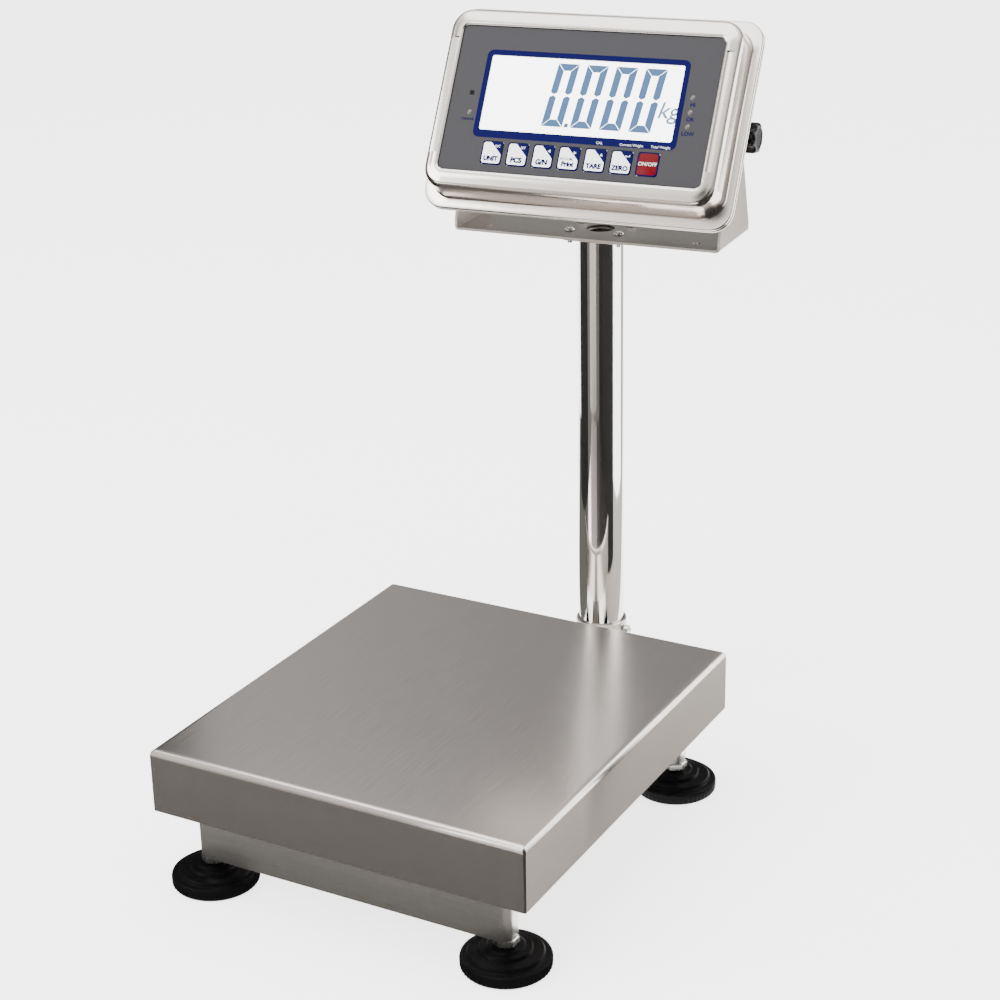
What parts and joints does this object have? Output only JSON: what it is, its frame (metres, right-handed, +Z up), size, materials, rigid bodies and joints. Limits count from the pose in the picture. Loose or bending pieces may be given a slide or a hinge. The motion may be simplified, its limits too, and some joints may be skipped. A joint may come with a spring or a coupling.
{
  "type": "bench scale",
  "caption": "Bench scale: stainless pan on a load cell, levelling feet, and a tilting steel LCD indicator in a yoke on a turning rear column.",
  "frame": {"origin": "floor level, at the middle of the object's bounding box", "axes": "+Z up, +X to the right as seen by the person reading the display, +Y towards the column at the back"},
  "size_m": [0.3132, 0.4918, 0.5889],
  "materials": {
    "brushed_steel": "brushed stainless sheet",
    "polished_steel": "polished stainless tube",
    "zinc_steel": "zinc-plated steel",
    "aluminium": "machined",
    "black_plastic": "glossy",
    "rubber": "matt",
    "housing_steel": "brushed stainless, brighter than the pan",
    "overlay_film": "printed polyester film",
    "key_white": "smooth film",
    "key_red": "smooth film",
    "display_glass": "clear front over a white reflector",
    "circuit_board": "solder mask",
    "battery_case": "moulded"
  },
  "bodies": {
    "base": {"front_beam": "brushed_steel", "rear_beam": "brushed_steel", "spine_beam": "brushed_steel", "column_bracket": "brushed_steel", "column_socket": "brushed_steel", "load_cell": "aluminium", "cell_spacer_low": "brushed_steel", "cell_spacer_high": "brushed_steel", "pan_support": "zinc_steel", "cell_bolt_1": "zinc_steel", "cell_bolt_2": "zinc_steel", "cell_bolt_3": "zinc_steel", "cell_bolt_4": "zinc_steel", "pan_buffer_1": "rubber", "pan_buffer_2": "rubber", "pan_buffer_3": "rubber", "pan_buffer_4": "rubber", "foot_nut_1": "zinc_steel", "foot_nut_2": "zinc_steel", "foot_nut_3": "zinc_steel", "foot_nut_4": "zinc_steel"},
    "pan": {"weighing_pan": "brushed_steel"},
    "column": {"column_tube": "polished_steel", "column_flange": "brushed_steel", "yoke": "brushed_steel", "yoke_screw_1": "zinc_steel", "yoke_screw_2": "zinc_steel", "yoke_screw_3": "zinc_steel", "yoke_screw_4": "zinc_steel"},
    "indicator": {"front_shell": "housing_steel", "overlay": "overlay_film", "lcd_module": "display_glass", "key_board": "circuit_board", "main_board": "circuit_board", "battery": "battery_case", "housing_gasket": "rubber", "rear_shell": "housing_steel", "knob_washer_left": "rubber", "knob_washer_right": "rubber", "cable_gland": "black_plastic", "charger_socket": "black_plastic"},
    "clamp": {"clamp_screw": "polished_steel"},
    "knob_l": {"knob_left": "black_plastic"},
    "knob_r": {"knob_right": "black_plastic"},
    "foot_1": {"foot_pad_1": "black_plastic", "foot_stud_1": "zinc_steel"},
    "foot_2": {"foot_pad_2": "black_plastic", "foot_stud_2": "zinc_steel"},
    "foot_3": {"foot_pad_3": "black_plastic", "foot_stud_3": "zinc_steel"},
    "foot_4": {"foot_pad_4": "black_plastic", "foot_stud_4": "zinc_steel"},
    "button_unit": {"key_unit": "key_white"},
    "button_pcs": {"key_pcs": "key_white"},
    "button_gross_net": {"key_gross_net": "key_white"},
    "button_print": {"key_print": "key_white"},
    "button_tare": {"key_tare": "key_white"},
    "button_zero": {"key_zero": "key_white"},
    "button_power": {"key_power": "key_red"}
  },
  "joints": [
    {"name": "pan_lift", "type": "slide", "parent": "base", "child": "pan", "axis": [0, 0, 1], "range_m": [0, 0.06]},
    {"name": "foot_1_level", "type": "slide", "parent": "base", "child": "foot_1", "axis": [0, 0, -1], "range_m": [0, 0.01]},
    {"name": "foot_2_level", "type": "slide", "parent": "base", "child": "foot_2", "axis": [0, 0, -1], "range_m": [0, 0.01]},
    {"name": "foot_3_level", "type": "slide", "parent": "base", "child": "foot_3", "axis": [0, 0, -1], "range_m": [0, 0.01]},
    {"name": "foot_4_level", "type": "slide", "parent": "base", "child": "foot_4", "axis": [0, 0, -1], "range_m": [0, 0.01]},
    {"name": "clamp_screw_turn", "type": "hinge", "parent": "base", "child": "clamp", "pos_m": [0, 0.18966, 0.069], "axis": [1, 0, 0], "range_deg": [-360, 0]},
    {"name": "column_turn", "type": "hinge", "parent": "base", "child": "column", "pos_m": [0, 0.18966, 0.2], "axis": [0, 0, 1], "range_deg": [-90, 90]},
    {"name": "indicator_tilt", "type": "hinge", "parent": "column", "child": "indicator", "pos_m": [0, 0.18966, 0.5009], "axis": [0.9964, 0.0844, 0], "range_deg": [-35, 15]},
    {"name": "knob_left_turn", "type": "hinge", "parent": "indicator", "child": "knob_l", "pos_m": [-0.11957, 0.17954, 0.5009], "axis": [0.9964, 0.0844, 0], "continuous": true},
    {"name": "knob_right_turn", "type": "hinge", "parent": "indicator", "child": "knob_r", "pos_m": [0.11957, 0.19978, 0.5009], "axis": [0.9964, 0.0844, 0], "continuous": true},
    {"name": "key_unit_press", "type": "slide", "parent": "indicator", "child": "button_unit", "axis": [-0.0728, 0.8594, -0.506], "range_m": [0, 0.0005], "stiffness_N_per_m": 600, "springref_m": -0.002},
    {"name": "key_pcs_press", "type": "slide", "parent": "indicator", "child": "button_pcs", "axis": [-0.0728, 0.8594, -0.506], "range_m": [0, 0.0005], "stiffness_N_per_m": 600, "springref_m": -0.002},
    {"name": "key_gross_net_press", "type": "slide", "parent": "indicator", "child": "button_gross_net", "axis": [-0.0728, 0.8594, -0.506], "range_m": [0, 0.0005], "stiffness_N_per_m": 600, "springref_m": -0.002},
    {"name": "key_print_press", "type": "slide", "parent": "indicator", "child": "button_print", "axis": [-0.0728, 0.8594, -0.506], "range_m": [0, 0.0005], "stiffness_N_per_m": 600, "springref_m": -0.002},
    {"name": "key_tare_press", "type": "slide", "parent": "indicator", "child": "button_tare", "axis": [-0.0728, 0.8594, -0.506], "range_m": [0, 0.0005], "stiffness_N_per_m": 600, "springref_m": -0.002},
    {"name": "key_zero_press", "type": "slide", "parent": "indicator", "child": "button_zero", "axis": [-0.0728, 0.8594, -0.506], "range_m": [0, 0.0005], "stiffness_N_per_m": 600, "springref_m": -0.002},
    {"name": "key_power_press", "type": "slide", "parent": "indicator", "child": "button_power", "axis": [-0.0728, 0.8594, -0.506], "range_m": [0, 0.0005], "stiffness_N_per_m": 600, "springref_m": -0.002}
  ]
}
